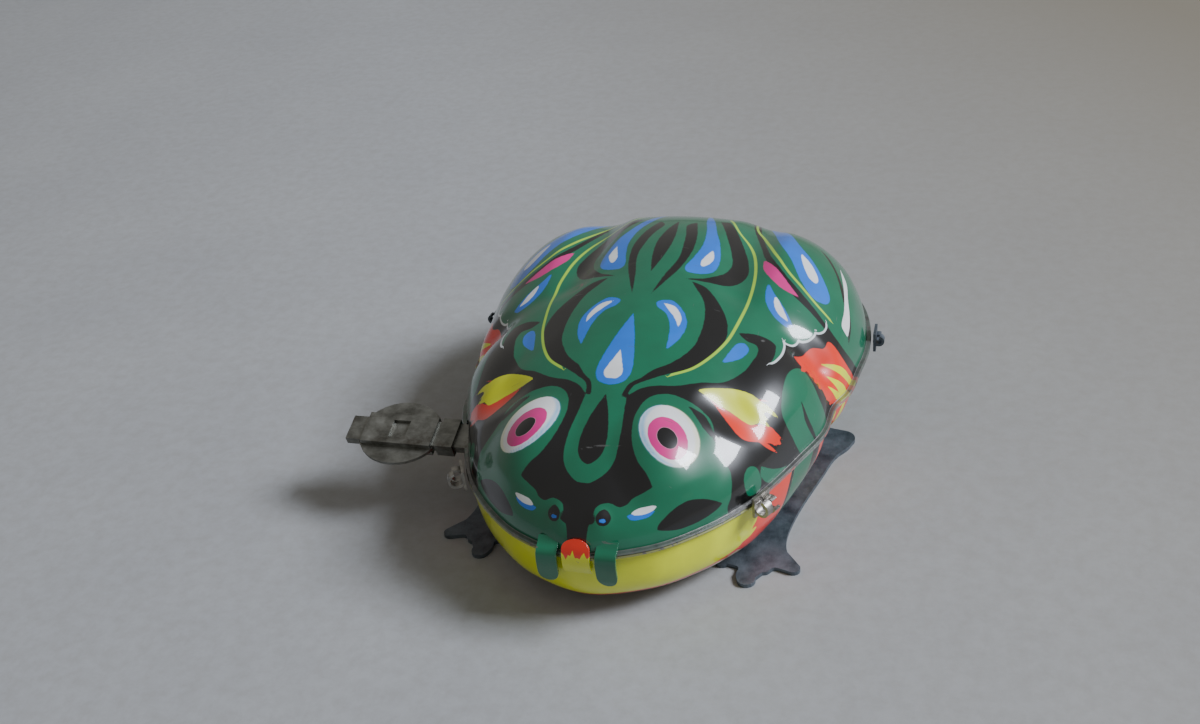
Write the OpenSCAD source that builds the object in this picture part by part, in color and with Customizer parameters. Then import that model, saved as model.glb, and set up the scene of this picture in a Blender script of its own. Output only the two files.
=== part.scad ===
// Tin wind-up jumping frog: two pressed tin shells, a small clockwork, a side key and a kicking leg frame.
// The frog looks along -Y, its left side is +X, and the soles of its feet lie on z = 0.

/* [Body shells] */
// Length of the shells from nose to tail
body_l = 78; // [76:0.5:80]
// Width of the shells across the thighs
body_w = 58.6; // [58:0.2:60]
// Height of the seam between the two shells
seam_z = 11.2; // [11:0.1:11.6]
// Height of the upper shell above the seam at the shoulders
back_h = 16.4; // [16:0.1:17.2]
// Extra height of the hump over the thighs
hump_h = 2.9; // [2.6:0.1:3.6]
// Clearance between the belly and the ground
belly_gap = 0.95; // [0.95:0.05:1.1]
// Thickness of the tin plate
tin_t = 0.35; // [0.3:0.05:0.4]
// Width of the flat lip around the seam
lip_w = 0.7; // [0.5:0.05:0.9]
// Height of the pressed eye domes
eye_bump = 1.7; // [1:0.1:2]

/* [Nose tabs] */
// Width of each folded nose tab
nose_tab_w = 2.9; // [2.4:0.1:3.1]
// Length of each nose tab below the seam
nose_tab_l = 3.9; // [3:0.1:4.4]

/* [Legs] */
// Thickness of the leg sheet
leg_t = 0.6; // [0.5:0.05:0.65]
// Height of the leg hinge above the soles
hinge_z = 5.2; // [5:0.1:5.6]
// Distance of the leg hinge behind the middle of the body
hinge_y = 10.6; // [10.2:0.1:11]
// Diameter of the leg hinge pin
hinge_pin_d = 1.5; // [1.3:0.1:1.6]

/* [Key] */
// Length of the oval key blade
key_l = 12.6; // [11.6:0.2:13]
// Width of the oval key blade
key_w = 11; // [10:0.2:12]
// Width of the flat key stem
stem_w = 4.2; // [3.6:0.1:4.4]
// Tilt of the key blade from level
key_tilt = 17; // [0:1:45]

/* [Clockwork] */
// Gear module
gear_m = 0.5; // [0.48:0.01:0.5]
// Gap between the two motor plates
plate_gap = 13.2; // [13.2:0.1:14]
// Thickness of the motor plates
plate_t = 0.8; // [0.7:0.05:0.9]
// Turns of the mainspring
spring_turns = 6; // [4:1:7]

/* [Hidden] */

// Running gap between a shaft and its bore
run_gap = 0.05;
// Press gap between pieces that are fastened together
rest_gap = 0.02;

// ---- Body outline and height -------------------------------------------------------------------

half_l = body_l / 2;
half_w = body_w / 2;
// Where the rays of the outline meet
pole_y = 8;
// Half outline from nose to tail: share of the half width, share of the half length
half_outline = [[0, -1.005], [0.28, -0.941], [0.485, -0.82], [0.635, -0.682], [0.724, -0.549],
                [0.809, -0.395], [0.889, -0.233], [0.905, -0.077], [0.958, 0.036], [0.98, 0.174],
                [1, 0.338], [0.978, 0.523], [0.9, 0.702], [0.745, 0.85], [0.52, 0.944],
                [0.262, 0.987], [0, 1]];
half_n = len(half_outline);
// Whole closed outline, left side first, then the right side back to the nose
control = concat(half_outline, [for (i = [half_n - 2 : -1 : 1]) [-half_outline[i][0], half_outline[i][1]]]);
control_n = len(control);
steps = 3;
ray_n = control_n * steps;

// Smooth curve through the control points
function blend(a, b, c, d, t) =
    0.5 * (2 * b + (c - a) * t + (2 * a - 5 * b + 4 * c - d) * t * t + (3 * b - a - 3 * c + d) * t * t * t);
function around(i) = control[(i + control_n) % control_n];
function outline_at(i) =
    let (k = floor(i / steps), t = i / steps - k,
         p = blend(around(k - 1), around(k), around(k + 1), around(k + 2), t))
    [p[0] * half_w, p[1] * half_l];
outline = [for (i = [0 : ray_n - 1]) outline_at(i)];

function smooth(t) = let (c = min(1, max(0, t))) c * c * (3 - 2 * c);
// Height of a round bump at a place, 1 in its middle and 0 outside
function bump(p, at, size) =
    let (dx = (abs(p[0]) - at[0]) / size[0], dy = (p[1] - at[1]) / size[1], d = dx * dx + dy * dy)
    d < 1 ? (1 - d) * (1 - d) : 0;
// Height of the bare dome over a place
function dome_h(y) = back_h + hump_h * smooth((y - 2.7) / 34);
// How square the edge of the upper dome is
dome_edge = 1.8;
// Pressed details: eyes, nostrils, thighs, back, front legs and the valleys between them
function pressing(p) =
    eye_bump * bump(p, [9.2, -28], [7.4, 7.8]) + 0.7 * bump(p, [2.75, -37.5], [2.1, 1.9])
    + 1.6 * bump(p, [20, 14], [10, 19]) - 1.3 * bump(p, [12.4, 17], [5, 21])
    + 0.6 * bump(p, [0, 6], [12, 26]) + 0.9 * bump(p, [20.5, -11], [6, 8])
    - 0.9 * bump(p, [15.5, -19], [5, 4]) - 0.8 * bump(p, [25, -1.5], [7, 4]);

// One point of the upper skin: i picks the ray, a is 0 at the top and 90 at the seam
function upper_point(i, a, inset) =
    let (way = outline[i] - [0, pole_y], reach = norm(way), share = sin(a),
         p = [0, pole_y] + way * share * (1 - inset / reach),
         rise = pow(1 - pow(share, dome_edge), 0.5), fade = smooth((1 - share) * 14),
         lift = pressing(p) * fade)
    [p[0] + way[0] / reach * lift * pow(share, 3), p[1] + way[1] / reach * lift * pow(share, 3),
     seam_z + rise * (dome_h(p[1]) - inset) + lift * (1 - pow(share, 6) * 0.6)];
// One point of the lower skin: the chin is squarer than the flanks
function lower_point(i, a, inset) =
    let (way = outline[i] - [0, pole_y], reach = norm(way), share = sin(a),
         chin = smooth((-way[1] / reach - 0.45) / 0.45),
         drop = pow(1 - pow(share, 4 + 8 * chin), 0.455 - 0.2 * chin),
         p = [0, pole_y] + way * share * (1 - inset / reach))
    [p[0], p[1], seam_z - drop * (seam_z - belly_gap - inset)];

// Rows of a skin, closer together toward the seam
upper_rows = [for (k = [1 : 17]) 90 * pow(k / 17, 0.9)];
lower_rows = [12, 28, 42, 52, 60, 66, 71, 75.5, 79.5, 83, 86, 88.2, 90];
// Closed rings around the lip, from the outer skin to the inner skin
function lip_ring(z, wide) =
    [for (i = [0 : ray_n - 1])
        let (way = outline[i] - [0, pole_y], reach = norm(way))
        [way[0] * (1 + wide / reach), way[1] * (1 + wide / reach) + pole_y, z]];
function upper_ring(a, inset) = [for (i = [0 : ray_n - 1]) upper_point(i, a, inset)];
function lower_ring(a, inset) = [for (i = [0 : ray_n - 1]) lower_point(i, a, inset)];

// Closed skin through a stack of rings, with a point at each end
module skin(first, rings, last, flip) {
    count = len(rings);
    end = count * ray_n + 1;
    points = concat([first], [for (ring = rings) for (p = ring) p], [last]);
    faces = concat(
        [for (i = [0 : ray_n - 1]) [0, 1 + (i + 1) % ray_n, 1 + i]],
        [for (k = [0 : count - 2]) for (i = [0 : ray_n - 1])
            [1 + k * ray_n + i, 1 + k * ray_n + (i + 1) % ray_n, 1 + (k + 1) * ray_n + (i + 1) % ray_n]],
        [for (k = [0 : count - 2]) for (i = [0 : ray_n - 1])
            [1 + k * ray_n + i, 1 + (k + 1) * ray_n + (i + 1) % ray_n, 1 + (k + 1) * ray_n + i]],
        [for (i = [0 : ray_n - 1])
            [end, 1 + (count - 1) * ray_n + i, 1 + (count - 1) * ray_n + (i + 1) % ray_n]]);
    turned = [for (f = faces) [f[2], f[1], f[0]]];
    polyhedron(points = points, faces = flip ? turned : faces);
}

// ---- Places ------------------------------------------------------------------------------------

arbor_y = -17.2;
arbor_z = 11.3;
arbor_d = 3;
great_teeth = 34;
second_teeth = 26;
third_teeth = 22;
pinion_teeth = 10;
fly_teeth = 8;
// Distance between the great and second shafts, the second and cam shafts, the cam and fly shafts
centre_1 = gear_m * (great_teeth + pinion_teeth) / 2 + 0.1;
centre_2 = gear_m * (second_teeth + pinion_teeth) / 2 + 0.1;
centre_3 = gear_m * (third_teeth + fly_teeth) / 2 + 0.1;
lean_1 = 21;
lean_2 = -27;
lean_3 = 40;
second_y = arbor_y + centre_1 * cos(lean_1);
second_z = arbor_z + centre_1 * sin(lean_1);
cam_y = second_y + centre_2 * cos(lean_2);
cam_z = second_z + centre_2 * sin(lean_2);
fly_y = cam_y + centre_3 * cos(lean_3);
fly_z = cam_z + centre_3 * sin(lean_3);
pivot_d = 1.2;
plate_in = plate_gap / 2;
plate_out = plate_in + plate_t;
// Where each wheel lies between the plates
ratchet_x = 2.5;
great_x = 3.7;
second_x = 5.2;
wheel_t = 0.8;
cam_r = 4.6;
pillar_d = 2.2;
pillars = [[-27.5, 13.5], [-26.2, 5.2], [12.5, 20.5], [-4, 4.4]];
foot_places = [-20.5, -8.5];
lug_x = 4.2;
stem_t = 1.2;
key_end = -27.1;

// Lays a flat drawing upright so that it reads along Y and Z, with its thickness along X
module upright(x, t) {
    translate([x, 0, 0]) rotate([90, 0, 90]) linear_extrude(t) children();
}
module rod(y, z, x0, x1, d) {
    translate([x0, y, z]) rotate([90, 0, 90]) cylinder(h = x1 - x0, d = d, $fn = 32);
}
function unit(p) = p / norm(p);

// ---- Shells ------------------------------------------------------------------------------------

lip_gap = 0.04;
key_hole_d = 5.4;

module key_hole() {
    rod(arbor_y, arbor_z, -half_w - 2, -half_w * 0.5, key_hole_d);
}

module nose_tab(side) {
    // The tab hangs from the lip, leans back a little and ends in a half round
    translate([side * 3.75, -half_l - lip_w * 0.4, seam_z + 0.3])
        rotate([90 + 8, 0, 0])
            linear_extrude(tin_t)
                union() {
                    translate([-nose_tab_w / 2, -nose_tab_l + nose_tab_w / 2])
                        square([nose_tab_w, nose_tab_l - nose_tab_w / 2]);
                    translate([0, -nose_tab_l + nose_tab_w / 2]) circle(d = nose_tab_w, $fn = 32);
                }
}

module upper_shell() {
    outer = [for (a = upper_rows) upper_ring(a, 0)];
    inner = [for (k = [len(upper_rows) - 1 : -1 : 0]) upper_ring(upper_rows[k], tin_t)];
    z0 = seam_z + lip_gap / 2;
    rows = concat([for (k = [0 : len(outer) - 2]) outer[k]],
                  [lip_ring(z0 + tin_t, 0), lip_ring(z0 + tin_t, lip_w), lip_ring(z0, lip_w),
                   lip_ring(z0, -tin_t)],
                  [for (k = [1 : len(inner) - 1]) inner[k]]);
    top = [0, pole_y, seam_z + dome_h(pole_y) + pressing([0, pole_y])];
    color("seagreen") {
        difference() {
            skin(top, rows, top - [0, 0, tin_t], true);
            key_hole();
        }
        nose_tab(1);
        nose_tab(-1);
    }
}

// Slot in the belly for one upright lug of the leg frame
slot_w = 1.7;
module belly_slot(x) {
    translate([x - slot_w / 2, hinge_y - 9.6, 0]) cube([slot_w, 12, 4]);
}

module lower_shell() {
    outer = [for (a = lower_rows) lower_ring(a, 0)];
    inner = [for (k = [len(lower_rows) - 1 : -1 : 0]) lower_ring(lower_rows[k], tin_t)];
    z0 = seam_z - lip_gap / 2;
    rows = concat([for (k = [0 : len(outer) - 2]) outer[k]],
                  [lip_ring(z0 - tin_t, 0), lip_ring(z0 - tin_t, lip_w), lip_ring(z0, lip_w),
                   lip_ring(z0, -tin_t)],
                  [for (k = [1 : len(inner) - 1]) inner[k]]);
    base = [0, pole_y, belly_gap];
    color("gold") {
        difference() {
            skin(base, rows, base + [0, 0, tin_t], false);
            key_hole();
            belly_slot(lug_x);
            belly_slot(-lug_x);
            for (y = foot_places) translate([0, y, 0]) cylinder(h = 4, d = 1.3, $fn = 24);
        }
        // Short tongue that stands up between the nose tabs
        translate([-1, -half_l - lip_w - tin_t * 0.6, seam_z - 2.6]) cube([2, tin_t, 3.4]);
    }
}

// ---- Seam clips --------------------------------------------------------------------------------

clip_w = 1.1;
clip_t = 0.4;
// Places of the clips: ray share of the outline on the left side
front_clip = [0.668 * half_w, -0.638 * half_l];
rear_clip = [half_w, 0.436 * half_l];

// One curled finger of bent strip, standing on the lip
module curl(r, turn) {
    rotate([90, 0, 0]) rotate([0, 0, turn])
        rotate_extrude(angle = 290, $fn = 48) translate([r, 0]) square([clip_t, clip_w]);
}
module clip(at, face, upper_r, lower_r) {
    translate([at[0], at[1], 0]) rotate([0, 0, face]) {
        // Strip that hugs both lips
        translate([lip_w + 0.25, -1.6, seam_z - 1.5]) cube([clip_t, 3.2, 3]);
        translate([lip_w + 0.6 + upper_r, -0.35, seam_z + 0.2]) curl(upper_r, 150);
        translate([lip_w + 0.62 + lower_r, 1.5, seam_z - 0.4]) curl(lower_r, 60);
    }
}
module on_right() {
    mirror([1, 0, 0]) children();
}

module clip_front_left() { color("dimgray") clip(front_clip, -27, 0.85, 0.7); }
module clip_front_right() { color("dimgray") on_right() clip(front_clip, -27, 0.85, 0.7); }
module clip_rear_left() { color("dimgray") clip(rear_clip, 1, 0.45, 0.3); }
module clip_rear_right() { color("dimgray") on_right() clip(rear_clip, 1, 0.45, 0.3); }

// ---- Leg frame ---------------------------------------------------------------------------------

knee = [26.9, 5.2];
knee_r = 1.9;

function arc(c, r, a0, a1, n) =
    [for (k = [0 : n]) let (a = a0 + (a1 - a0) * k / n) c + r * [cos(a), sin(a)]];
// Smooth line through the inner points of a list, whose first and last points only steer it
function flow(p) = [for (k = [1 : len(p) - 3]) for (t = [0 : 0.25 : 0.75])
    blend(p[k - 1], p[k], p[k + 1], p[k + 2], t)];
bar_front = hinge_y - 7.8;
bar_back = hinge_y - 2.4;

// Left half of the flat blank: cross bar, knee, outer edge of the arm, three toes and inner edge
leg_outline = concat(
    [[0, bar_front], [0, bar_back], [14, bar_back]],
    flow([[10, bar_back], [20, bar_back], [24, knee[1] + knee_r + 0.6], [26, knee[1] + knee_r + 0.2], knee + [0, knee_r]]),
    arc(knee, knee_r, 80, -30, 8),
    flow([[28.6, 6], [28.2, 3.2], [26.5, 0.2], [25.3, -4.6], [23.8, -10.6], [22.9, -15.4], [22.6, -19.4],
          [23.4, -22.8], [25, -25]]),
    arc([24.4, -25.1], 0.95, 25, -115, 6),
    flow([[24, -26], [22.9, -25.6], [21.9, -25.5], [21.2, -26.4], [20.4, -26.8], [20, -28]]),
    arc([18.7, -28.2], 1.25, 20, -160, 8),
    flow([[17.4, -29], [17.2, -27.6], [17.3, -26.2], [16.4, -25.8], [16, -26]]),
    arc([14.9, -25.0], 1.05, -40, -250, 8),
    flow([[15, -23.6], [16.2, -22.9], [18.6, -18.4], [20.3, -11], [21.8, -4], [22.1, 0.6], [20.4, bar_front],
          [14, bar_front]]));

// Upright lug: it carries the hinge bore, and the left one also the finger under the cam
module lug(x, finger) {
    upright(x - leg_t / 2, leg_t)
        difference() {
            union() {
                translate([hinge_y, hinge_z]) circle(r = 1.6, $fn = 48);
                polygon([[hinge_y - 7.6, 0.1], [hinge_y - 2.6, 0.1], [hinge_y + 0.9, hinge_z - 1.32],
                         [hinge_y - 0.9, hinge_z + 1.32], [hinge_y - 3.5, hinge_z + 0.2],
                         [hinge_y - 7.2, 2.6]]);
                if (finger)
                    polygon([[hinge_y - 7.2, 2.4], [hinge_y - 3, hinge_z - 1.5], [hinge_y, hinge_z + 1.6],
                             [hinge_y - 6.2, hinge_z + 1.2], [hinge_y - 7.6, hinge_z + 0.9]]);
            }
            translate([hinge_y, hinge_z]) circle(d = hinge_pin_d + 2 * run_gap, $fn = 48);
        }
}

module leg_frame() {
    color("darkslategray") {
        linear_extrude(leg_t) {
            polygon(leg_outline);
            mirror([1, 0]) polygon(leg_outline);
        }
        lug(lug_x, true);
        lug(-lug_x, false);
    }
}

module leg_hinge_pin() {
    color("silver") rod(hinge_y, hinge_z, -plate_out - 0.3, plate_out + 0.3, hinge_pin_d);
}

// Light coil around the hinge pin, one end on a plate and one end on the cross bar
coil_wire = 0.4;
coil_pitch = 1.05;
module leg_return_spring() {
    color("silver") {
        for (k = [0 : 4])
            translate([-2.2 + k * coil_pitch, hinge_y, hinge_z]) rotate([0, 90, 0])
                rotate_extrude($fn = 32) translate([hinge_pin_d / 2 + 0.35, 0]) circle(d = coil_wire, $fn = 16);
        translate([-2.2, hinge_y, hinge_z - hinge_pin_d / 2 - 0.35]) rotate([0, 90, 0])
            cylinder(h = 4 * coil_pitch, d = coil_wire - 0.12, $fn = 12);
        translate([-2.2, hinge_y + 0.2, hinge_z + hinge_pin_d / 2 + 0.35]) rotate([-70, 0, 0])
            cylinder(h = 4, d = coil_wire - 0.12, $fn = 12);
    }
}

// ---- Motor plates, pillars and feet -------------------------------------------------------------

plate_outline = [[-30, 15.5], [-30, 11], [-27.6, 2.9], [-2, 2.9], [0, 6.5], [6, 6.5], [hinge_y - 1.4, 2.9],
                 [hinge_y + 2.2, 2.9], [hinge_y + 4.4, 20], [hinge_y + 2.5, 22.6], [-3, 22.6],
                 [-11, 20.5], [-24, 18.5]];
module plate(x) {
    upright(x, plate_t)
        difference() {
            polygon(plate_outline);
            for (p = pillars) translate(p) circle(d = pillar_d * 0.6 + 2 * rest_gap, $fn = 32);
            translate([arbor_y, arbor_z]) circle(d = arbor_d + 2 * run_gap, $fn = 48);
            for (p = [[second_y, second_z], [cam_y, cam_z], [fly_y, fly_z]])
                translate(p) circle(d = pivot_d + 2 * run_gap, $fn = 32);
            translate([hinge_y, hinge_z]) circle(d = hinge_pin_d + 2 * rest_gap, $fn = 32);
        }
}
module motor_plate_left() { color("silver") plate(plate_in); }
module motor_plate_right() { color("silver") plate(-plate_out); }

module pillar(p) {
    color("lightgray") {
        rod(p[0], p[1], -plate_in, plate_in, pillar_d);
        rod(p[0], p[1], -plate_out - 0.2, plate_out + 0.2, pillar_d * 0.6);
    }
}
module pillar_front_top() { pillar(pillars[0]); }
module pillar_front_low() { pillar(pillars[1]); }
module pillar_rear_top() { pillar(pillars[2]); }
module pillar_middle_low() { pillar(pillars[3]); }

foot_w = 3.4;
belly_in = belly_gap + tin_t;
// Cross strap between the belly and the plates, turned up outside both plates
module motor_foot(y) {
    color("gray") difference() {
        union() {
            translate([-plate_out - 0.6, y - foot_w / 2, belly_in + 0.12])
                cube([2 * plate_out + 1.2, foot_w, 0.5]);
            for (x = [-plate_out - 0.6, plate_out + rest_gap])
                translate([x, y - foot_w / 2, belly_in + 0.12]) cube([0.6 - rest_gap, foot_w, 3.4]);
        }
        translate([0, y, 0]) cylinder(h = 4, d = 1.2 + 2 * rest_gap, $fn = 24);
    }
}
module motor_foot_front() { motor_foot(foot_places[0]); }
module motor_foot_rear() { motor_foot(foot_places[1]); }
module foot_rivets() {
    color("silver") for (y = foot_places) translate([0, y, 0]) {
        translate([0, 0, belly_gap - 0.18]) cylinder(h = 0.16, d = 2.2, $fn = 32);
        translate([0, 0, belly_gap - 0.05]) cylinder(h = 1.3, d = 1.2, $fn = 32);
        translate([0, 0, belly_in + 0.64]) cylinder(h = 0.4, d = 2, $fn = 32);
    }
}

// ---- Winding arbor, key and mainspring ------------------------------------------------------------

stem_start = -9.5;
key_tip = key_end - key_l - 1.6;
// Thick shoulder just outside the shell
shoulder_l = 2.6;
shoulder_w = 5;
shoulder_t = 2.2;

module winding_arbor() {
    color("gray") {
        rod(arbor_y, arbor_z, stem_start, plate_out + 0.4, arbor_d);
        translate([0, arbor_y, arbor_z]) rotate([key_tilt, 0, 0]) {
            translate([key_end, -shoulder_w / 2, -shoulder_t / 2]) cube([shoulder_l, shoulder_w, shoulder_t]);
            // Flat stem with a rounded tip
            translate([key_tip + 1, -stem_w / 2, -stem_t / 2]) cube([stem_start - key_tip, stem_w, stem_t]);
            translate([key_tip + 1, 0, -stem_t / 2]) linear_extrude(stem_t)
                intersection() {
                    circle(r = stem_w * 0.62, $fn = 48);
                    translate([-1, -stem_w / 2]) square([1.2, stem_w]);
                }
        }
    }
}

blade_t = 0.5;
strap_t = stem_t / 2 + blade_t;
// Oval sheet blade with a raised channel over the stem and a square window in the channel
module key_blade() {
    color("gray")
        translate([key_end - key_l / 2, arbor_y, arbor_z]) rotate([key_tilt, 0, 0])
            difference() {
                union() {
                    linear_extrude(blade_t, center = true) scale([key_l / key_w, 1]) circle(d = key_w, $fn = 96);
                    translate([-key_l * 0.42, -stem_w / 2 - blade_t, -strap_t])
                        cube([key_l * 0.86, stem_w + 2 * blade_t, 2 * strap_t]);
                }
                translate([-key_l, -stem_w / 2 - rest_gap, -stem_t / 2 - rest_gap])
                    cube([2 * key_l, stem_w + 2 * rest_gap, stem_t + 2 * rest_gap]);
                translate([-1.2, -stem_w * 0.36, 0]) cube([2.6, stem_w * 0.72, 3]);
            }
}

// Spiral strip between the arbor and the outer turn, hooked to the front lower pillar
spring_t = 0.25;
spring_in = arbor_d / 2 + 0.1;
spring_out = 7.3;
spiral_steps = 20;
function spiral(n, off) =
    let (share = n / (spring_turns * spiral_steps), a = n * 360 / spiral_steps,
         r = spring_in + (spring_out - spring_in) * share + off)
    [arbor_y + r * cos(a), arbor_z + r * sin(a)];
module mainspring() {
    count = spring_turns * spiral_steps;
    color("steelblue")
        upright(-5.6, 7.4)
            polygon(concat([for (n = [0 : count]) spiral(n, 0)], [for (n = [count : -1 : 0]) spiral(n, spring_t)]));
}

// ---- Wheels --------------------------------------------------------------------------------------

pressure = 20;
play = 0.06;
function inv(a) = tan(a) * 180 / PI - a;
// Half width of a tooth, as an angle, at radius r
function half_tooth(r, teeth, pitch_r) =
    let (base_r = pitch_r * cos(pressure), reach = max(r, base_r))
    90 / teeth - play * 180 / PI / pitch_r + inv(pressure) - inv(acos(base_r / reach));
function tooth(k, teeth, pitch_r, r, side) =
    let (a = 360 * k / teeth + side * half_tooth(r, teeth, pitch_r)) [r * cos(a), r * sin(a)];
module gear(y, z, x, t, teeth, turn, bore) {
    pitch_r = gear_m * teeth / 2;
    low = pitch_r - 1.15 * gear_m;
    high = pitch_r + 0.85 * gear_m;
    radii = [for (k = [0 : 3]) low + (high - low) * k / 3];
    translate([0, y, z]) rotate([turn, 0, 0])
        upright(x, t)
            difference() {
                polygon([for (k = [0 : teeth - 1]) for (side = [-1, 1]) for (j = [0 : 3])
                    tooth(k, teeth, pitch_r, radii[side < 0 ? j : 3 - j], side)]);
                circle(d = bore, $fn = 48);
            }
}
// Turn that puts a space of the driven wheel against a tooth of the driver
function meshed(lean, teeth) = lean + 180 + 180 / teeth;

ratchet_teeth = 12;
ratchet_r = 3.4;
module ratchet_wheel() {
    color("goldenrod")
        translate([0, arbor_y, arbor_z]) upright(ratchet_x, wheel_t)
            difference() {
                polygon([for (k = [0 : ratchet_teeth - 1]) for (p = [[ratchet_r, 0], [ratchet_r - 0.8, 3]])
                    let (a = k * 360 / ratchet_teeth + p[1]) p[0] * [cos(a), sin(a)]]);
                circle(d = arbor_d + 2 * rest_gap, $fn = 48);
            }
}

module great_gear() {
    color("goldenrod")
        difference() {
            gear(arbor_y, arbor_z, great_x, wheel_t, great_teeth, lean_1, arbor_d + 2 * run_gap);
            rod(click_y, click_z, great_x - 1, great_x + 2, click_rivet_d + 2 * rest_gap);
            rod(click_spring_y, click_spring_z, great_x - 1, great_x + 2, 0.8 + 2 * rest_gap);
        }
}

// Click that rides just clear of the ratchet teeth, its rivet and its wire spring
click_rivet_d = 1.0;
click_y = arbor_y - 5.4;
click_z = arbor_z - 3.8;
click_spring_y = arbor_y - 6.6;
click_spring_z = arbor_z + 2.2;
click_tip = [arbor_y - 3.48, arbor_z - 0.5];
module click() {
    color("goldenrod")
        upright(ratchet_x, wheel_t)
            difference() {
                union() {
                    translate([click_y, click_z]) circle(r = 1.2, $fn = 32);
                    polygon([[click_y - 1.15, click_z + 0.3], [click_y + 0.9, click_z - 0.5],
                             click_tip, click_tip + [-0.9, 0.5]]);
                }
                translate([click_y, click_z]) circle(d = click_rivet_d + 2 * run_gap, $fn = 32);
            }
}
module click_rivet() {
    color("silver") {
        rod(click_y, click_z, ratchet_x - 0.25, great_x + wheel_t + 0.15, click_rivet_d);
        rod(click_y, click_z, ratchet_x - 0.35, ratchet_x - 0.1, 1.8);
    }
}
module click_spring() {
    color("silver") {
        rod(click_spring_y, click_spring_z, ratchet_x + 0.2, great_x + wheel_t + 0.15, 0.8);
        // Wire that leans on the back of the click
        translate([ratchet_x + 0.4, click_spring_y, click_spring_z]) rotate([90 + 68, 0, 0])
            cylinder(h = 3.2, d = 0.35, $fn = 16);
    }
}

pinion_x = 3.3;
module second_pinion() {
    color("silver") {
        gear(second_y, second_z, pinion_x, 1.6, pinion_teeth, meshed(lean_1, pinion_teeth), 0);
        rod(second_y, second_z, -plate_out - 0.2, plate_out + 0.2, pivot_d);
    }
}
module second_gear() {
    color("goldenrod")
        gear(second_y, second_z, second_x, wheel_t, second_teeth, lean_2, pivot_d + 2 * rest_gap);
}
module cam_shaft() {
    color("silver") {
        gear(cam_y, cam_z, second_x - 0.2, 1.3, pinion_teeth, meshed(lean_2, pinion_teeth), 0);
        rod(cam_y, cam_z, -plate_out - 0.2, plate_out + 0.2, pivot_d);
    }
}
// Snail cam: it rises through one turn and drops back in one step
cam_low = 2.6;
module snail_cam() {
    color("dimgray")
        translate([0, cam_y, cam_z]) upright(lug_x - 0.7, 1.3)
            difference() {
                polygon([for (k = [0 : 36]) let (r = cam_low + (cam_r - cam_low) * k / 36)
                    r * [cos(k * 10 - 60), sin(k * 10 - 60)]]);
                circle(d = pivot_d + 2 * rest_gap, $fn = 48);
            }
}
third_x = -5.6;
module third_gear() {
    color("goldenrod")
        gear(cam_y, cam_z, third_x, wheel_t, third_teeth, lean_3, pivot_d + 2 * rest_gap);
}
module fly_pinion() {
    color("silver") {
        gear(fly_y, fly_z, third_x - 0.3, 1.4, fly_teeth, meshed(lean_3, fly_teeth), 0);
        rod(fly_y, fly_z, -plate_out - 0.2, plate_out + 0.2, pivot_d);
    }
}
// Two-bladed fly that slows the train by stirring the air
module governor_fly() {
    color("lightgray")
        translate([0, fly_y, fly_z]) rotate([25, 0, 0]) difference() {
            union() {
                rod(0, 0, -3.6, 2.2, 2);
                translate([-3.4, -3.6, -0.15]) cube([5.4, 7.2, 0.3]);
            }
            rod(0, 0, -5, 5, pivot_d + 2 * rest_gap);
        }
}

upper_shell();
lower_shell();
clip_front_left();
clip_front_right();
clip_rear_left();
clip_rear_right();
leg_frame();
leg_hinge_pin();
leg_return_spring();
motor_plate_left();
motor_plate_right();
pillar_front_top();
pillar_front_low();
pillar_rear_top();
pillar_middle_low();
motor_foot_front();
motor_foot_rear();
foot_rivets();
winding_arbor();
key_blade();
mainspring();
ratchet_wheel();
great_gear();
click();
click_rivet();
click_spring();
second_pinion();
second_gear();
cam_shaft();
snail_cam();
third_gear();
fly_pinion();
governor_fly();
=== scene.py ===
import math

import bpy
import numpy as np
from bpy.props import FloatProperty, FloatVectorProperty, PointerProperty
from mathutils import Matrix, Vector


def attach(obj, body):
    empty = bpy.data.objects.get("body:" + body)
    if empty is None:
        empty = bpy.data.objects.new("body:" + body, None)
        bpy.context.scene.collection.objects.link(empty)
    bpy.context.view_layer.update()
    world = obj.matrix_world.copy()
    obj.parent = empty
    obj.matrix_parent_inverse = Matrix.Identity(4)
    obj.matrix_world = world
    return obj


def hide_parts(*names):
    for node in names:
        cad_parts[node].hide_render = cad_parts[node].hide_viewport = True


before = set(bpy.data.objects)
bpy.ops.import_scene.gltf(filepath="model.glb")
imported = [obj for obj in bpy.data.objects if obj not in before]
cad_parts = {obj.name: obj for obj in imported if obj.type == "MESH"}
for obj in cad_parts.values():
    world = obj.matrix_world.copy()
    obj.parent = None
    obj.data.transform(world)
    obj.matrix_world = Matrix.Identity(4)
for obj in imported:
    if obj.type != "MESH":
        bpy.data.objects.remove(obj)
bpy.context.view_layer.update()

bl_info = {
    "name": "Jumping tin frog",
    "version": (1, 0, 0),
    "blender": (4, 5, 0),
    "location": "3D View > Sidebar > Tin frog",
    "description": "Printed shells, metals, floor, light and camera of a wind-up jumping frog",
    "category": "Add Mesh",
}

# ---- Shape of the pressed body, in millimetres ------------------------------------------------

# Half outline from nose to tail: share of the half width, share of the half length
HALF_OUTLINE = [
    (0, -1.005), (0.28, -0.941), (0.485, -0.82), (0.635, -0.682), (0.724, -0.549), (0.809, -0.395),
    (0.889, -0.233), (0.905, -0.077), (0.958, 0.036), (0.98, 0.174), (1, 0.338), (0.978, 0.523),
    (0.9, 0.702), (0.745, 0.85), (0.52, 0.944), (0.262, 0.987), (0, 1),
]
TIN = 0.35
# The unseen inner wall lies this much deeper, so that its coarse faces stay behind the print
INNER_SET = 0.2
LIP = 0.7
LIP_GAP = 0.02
KEY_HOLE = (-17.2, 11.3, 2.7)
SLOTS = (-4.2, 4.2)
REACH = 1.5


def smooth(t):
    c = np.clip(t, 0, 1)
    return c * c * (3 - 2 * c)


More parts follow.
